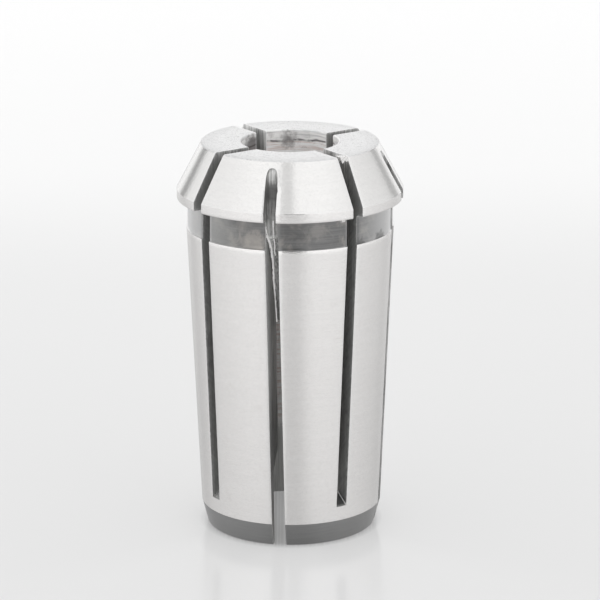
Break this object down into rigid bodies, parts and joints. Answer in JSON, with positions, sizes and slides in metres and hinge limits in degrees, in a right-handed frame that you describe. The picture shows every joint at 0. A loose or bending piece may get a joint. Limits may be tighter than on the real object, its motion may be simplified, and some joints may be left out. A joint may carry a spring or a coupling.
{
  "type": "spring collet",
  "caption": "Slit, slightly tapered steel sleeve with a coned nose and a groove under its rim. Pushed into its seat, it closes evenly on a round tool shank.",
  "frame": {"origin": "centre of the tail face, on which the collet stands", "axes": "+Z along the bore, from the tail to the nose; +X and +Y each lie in a slot that was sawn from the tail"},
  "size_m": [0.035, 0.035, 0.0613],
  "materials": {
    "collet_steel": "satin ground spring steel, dark and unground in the groove and on the tail chamfer, sawn grey in the slots"
  },
  "bodies": {
    "root": {"collet": "collet_steel"}
  },
  "joints": []
}
